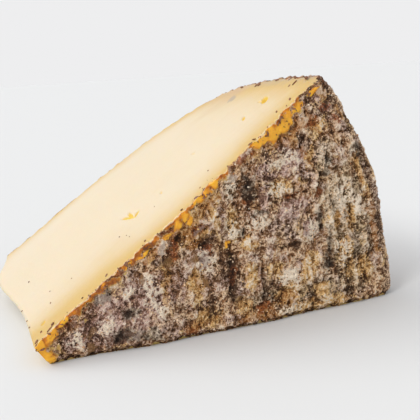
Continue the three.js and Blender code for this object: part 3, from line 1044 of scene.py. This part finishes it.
def cut_marks(skin, eyes):
    """How the paste differs from place to place on the cuts, from 0 to 1."""
    to_heel = WHEEL_RADIUS - skin.along
    far_part = smooth_step(36, 52, skin.deep)
    yellowing = 0.9 * fading(skin.rind_distance, 8)
    yellowing += (0.6 * fading(skin.deep, 18) - 0.1) * fading(skin.along - 2, 12)
    yellowing += 0.35 * fading(skin.deep, 14) * hump(skin.along, 16, 16)
    yellowing += 0.5 * fading(to_heel, 16)
    torn = 1.2 * layered_noise(skin.points, 2.4, 141)
    smear = 1.4 * skin.on_upper_cut * spots(skin.along + torn, skin.deep + torn, [GREY_SMEAR])
    crumbly = np.clip(0.15 + 1.4 * noise(skin.points, 3.0, 133), 0, 1)
    return {
        "yellowing": yellowing,
        "heel_side": fading(to_heel, 11) * far_part,
        "heel_grey": np.maximum(hump(to_heel, 0, 6) * (1 - 0.7 * far_part), smear),
        "eye": np.clip(eyes / 0.7, 0, 1),
        # A band along the upper cut's near edge, where the paste gets a painted highlight
        "edge_highlight": fading(skin.deep, 0.9) * skin.on_upper_cut * (skin.along < 93),
        "edge_crumbs": edge_crumbs(skin),
        "crumbly": crumbly * fading(skin.upper_edge, 4),
    }


def make_wedge():
    """The whole skin of the wedge. Gives back its mesh and its marks."""
    grid = box_of_lines()
    refine(grid)
    skin = Skin(grid)
    marks = rind_marks(skin)
    height, of_relief = rind_relief(skin, marks)
    eyes = eye_depth(skin)
    rise = height * hump(skin.rind_distance, 0, RELIEF_REACH)
    points = worn(skin, skin.points + skin.outward * rise[:, None], eyes)

    near_corner = (skin.v > 0.5) * (skin.along > 90) * (1 - smooth_step(16, 34, skin.deep))
    marks["band"] *= 1 - np.clip(near_corner, 0, 1)
    marks["rind"] = rind_share(skin, near_corner)
    marks["smeared"] = marks["rind"] * np.maximum(marks["gold"], 0.8 * marks["band"])
    marks |= of_relief | cut_marks(skin, eyes)

    mesh = bpy.data.meshes.new("cheese_wedge_skin")
    grid.to_mesh(mesh)
    grid.free()
    mesh.vertices.foreach_set("co", in_part_frame(points).astype(np.float32).ravel())
    add_marks(mesh, marks)
    mesh.update()
    piece = add_piece("wedge_skin", mesh, cheese_finish())
    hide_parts("cheese_wedge")
    return mesh, marks


def face_values(mesh, name, width):
    values = np.empty(len(mesh.polygons) * width, np.float32)
    mesh.polygons.foreach_get(name, values)
    return values.reshape(-1, width) if width > 1 else values


def lump_form():
    """The points and faces of a small ball."""
    ball = bmesh.new()
    bmesh.ops.create_icosphere(ball, subdivisions=1, radius=0.5)
    points = np.array([vertex.co for vertex in ball.verts])
    faces = np.array([[vertex.index for vertex in face.verts] for face in ball.faces])
    ball.free()
    return points, faces


def lump_shapes(length, across, upward, sizes):
    """A 3 by 3 matrix for each lump, from its three directions and its sizes along them."""
    sides = [way * size[:, None] for way, size in zip((length, across, upward), sizes)]
    return np.stack(sides, axis=2)


def join_lumps(name, centres, shapes, marks, material, random):
    """Makes one piece of uneven lumps, with a 3 by 3 matrix in mm for each one's shape."""
    form, faces = lump_form()
    uneven = 1 + random.normal(0, 0.16, (len(centres), len(form), 1))
    points = centres[:, None] + np.einsum("nij,nkj->nki", shapes, form * uneven) * MM
    points[..., 2] = np.maximum(points[..., 2], 0)
    numbers = faces + len(form) * np.arange(len(centres))[:, None, None]
    mesh = bpy.data.meshes.new(name)
    mesh.from_pydata(points.reshape(-1, 3), [], numbers.reshape(-1, 3))
    add_marks(mesh, {mark: np.repeat(values, len(form)) for mark, values in marks.items()})
    add_piece(name, mesh, material)


def scatter(name, skin_mesh, marks, density, kind, material):
    """Lumps lying on the skin, turned at random, and more of them where the density is higher."""
    random = np.random.default_rng(kind["seed"])
    centres = face_values(skin_mesh, "center", 3)
    normals = face_values(skin_mesh, "normal", 3)
    corner = face_values(skin_mesh, "loop_start", 1).astype(int)
    of_loop = np.empty(len(skin_mesh.loops), np.int32)
    skin_mesh.loops.foreach_get("vertex_index", of_loop)
    at_face = {mark: values[of_loop[corner]] for mark, values in marks.items()}
    share = face_values(skin_mesh, "area", 1) * density(at_face)
    share *= centres[:, 2] > OFF_FLOOR * MM
    chosen = random.choice(len(share), kind["count"], p=share / share.sum())
    growth = (kind["largest"] / kind["smallest"]) ** random.random(kind["count"]) ** 1.6
    size = kind["smallest"] * growth
    wide, thick = size * kind["slim"] * random.uniform(0.7, 1.3, (2, len(size)))
    upward = normals[chosen]
    length = np.cross(upward, random.normal(size=upward.shape))
    length /= np.linalg.norm(length, axis=1, keepdims=True)
    shapes = lump_shapes(length, np.cross(upward, length), upward, (size, wide, thick))
    places = centres[chosen] + upward * (thick * (0.5 - kind["sunk"]) * MM)[:, None]
    carried = {mark: at_face[mark][chosen] for mark in ("cream", "slate")}
    carried["tint"] = random.random(len(size))
    join_lumps(name, places, shapes, carried, material, random)


def grain_density(at_face):
    bare = np.clip(1 - 1.5 * at_face["gold"] - at_face["band"] - at_face["olive"], 0, 1)
    return at_face["rind"] * bare * (0.5 + at_face["mould"])


def crumb_density(at_face):
    smears = at_face["rind"] * np.maximum(at_face["gold"], at_face["band"]) * at_face["crumbly"]
    return smears + CRUMBS_ON_CUT * (1 - at_face["rind"]) * at_face["edge_crumbs"]


def add_scraps():
    """Scraps of rind that the knife left on the upper cut."""
    random = np.random.default_rng(64)
    along, deep, long, wide, turn = np.array(SCRAPS).T
    share = deep / WHEEL_HEIGHT
    u = along / WHEEL_RADIUS
    centres = wedge_points(u, np.ones(len(u)), share)
    centres[:, 2] += 0.05 * wide
    turn = np.radians(turn)
    slope = lerp(NEAR_ANGLE, FAR_ANGLE, share)
    up_slope = np.stack([np.cos(slope), 0 * slope, np.sin(slope)], axis=1)
    inwards = np.tile([0.0, 1.0, 0.0], (len(u), 1))
    length = up_slope * np.cos(turn)[:, None] + inwards * np.sin(turn)[:, None]
    across = up_slope * -np.sin(turn)[:, None] + inwards * np.cos(turn)[:, None]
    sizes = (long, wide, SCRAP_THICKNESS * wide)
    shapes = lump_shapes(length, across, np.cross(length, across), sizes)
    tint = {"tint": random.uniform(0.1, 0.8, len(u))}
    join_lumps("rind_scraps", in_part_frame(centres), shapes, tint, crumb_finish(), random)


# Surroundings: a way round the wedge is an azimuth and an elevation in degrees
def way_round(azimuth, elevation):
    a, e = math.radians(azimuth), math.radians(elevation)
    return Vector((math.sin(a) * math.cos(e), -math.cos(a) * math.cos(e), math.sin(e)))


def add_floor():
    mesh = bpy.data.meshes.new("floor")
    disc = bmesh.new()
    bmesh.ops.create_circle(disc, cap_ends=True, segments=96, radius=FLOOR_RADIUS)
    disc.to_mesh(mesh)
    disc.free()
    mesh.materials.append(floor_finish())
    floor = bpy.data.objects.new("floor", mesh)
    bpy.context.scene.collection.objects.link(floor)


def add_room():
    """A pale room that is darker overhead."""
    room = Finish(bpy.data.worlds.new("studio"), "Generated")
    height = room.node("ShaderNodeSeparateXYZ", {}, {0: room.place}, "Z")
    sockets = {"Value": height, "From Min": OVERHEAD["from"], "From Max": OVERHEAD["to"]}
    shade = room.mix(room.node("ShaderNodeMapRange", {}, sockets), STUDIO_WHITE, OVERHEAD_GREY)
    background = room.node("ShaderNodeBackground", {}, {"Color": shade})
    bpy.context.scene.world = room.end(background, "ShaderNodeOutputWorld")


def add_suns():
    for name, (azimuth, elevation, strength, width, shade) in SUNS.items():
        lamp = bpy.data.lights.new(name, "SUN")
        lamp.energy = strength
        lamp.color = shade
        lamp.angle = math.radians(width)
        holder = bpy.data.objects.new(name, lamp)
        holder.location = way_round(azimuth, elevation)
        holder.rotation_euler = holder.location.to_track_quat("Z", "Y").to_euler()
        bpy.context.scene.collection.objects.link(holder)


def add_camera():
    data = bpy.data.cameras.new("camera")
    data.sensor_width = SENSOR_WIDTH
    data.lens = CAMERA_LENS
    data.clip_start = 0.01
    camera = bpy.data.objects.new("camera", data)
    back = way_round(CAMERA_AZIMUTH, CAMERA_ELEVATION)
    turn = back.to_track_quat("Z", "Y").to_matrix()
    turn = turn @ Matrix.Rotation(math.radians(CAMERA_ROLL), 3, "Z")
    place = Vector(CAMERA_TARGET) * MM + back * CAMERA_DISTANCE * MM
    camera.matrix_world = Matrix.Translation(place) @ turn.to_4x4()
    bpy.context.scene.collection.objects.link(camera)
    bpy.context.scene.camera = camera


def main():
    bpy.context.scene.view_settings.view_transform = "Standard"
    add_camera()
    add_room()
    add_suns()
    add_floor()
    skin_mesh, marks = make_wedge()
    scatter("mould_grains", skin_mesh, marks, grain_density, GRAINS, grain_finish())
    scatter("rind_crumbs", skin_mesh, marks, crumb_density, CRUMBS, crumb_finish())
    add_scraps()


main()
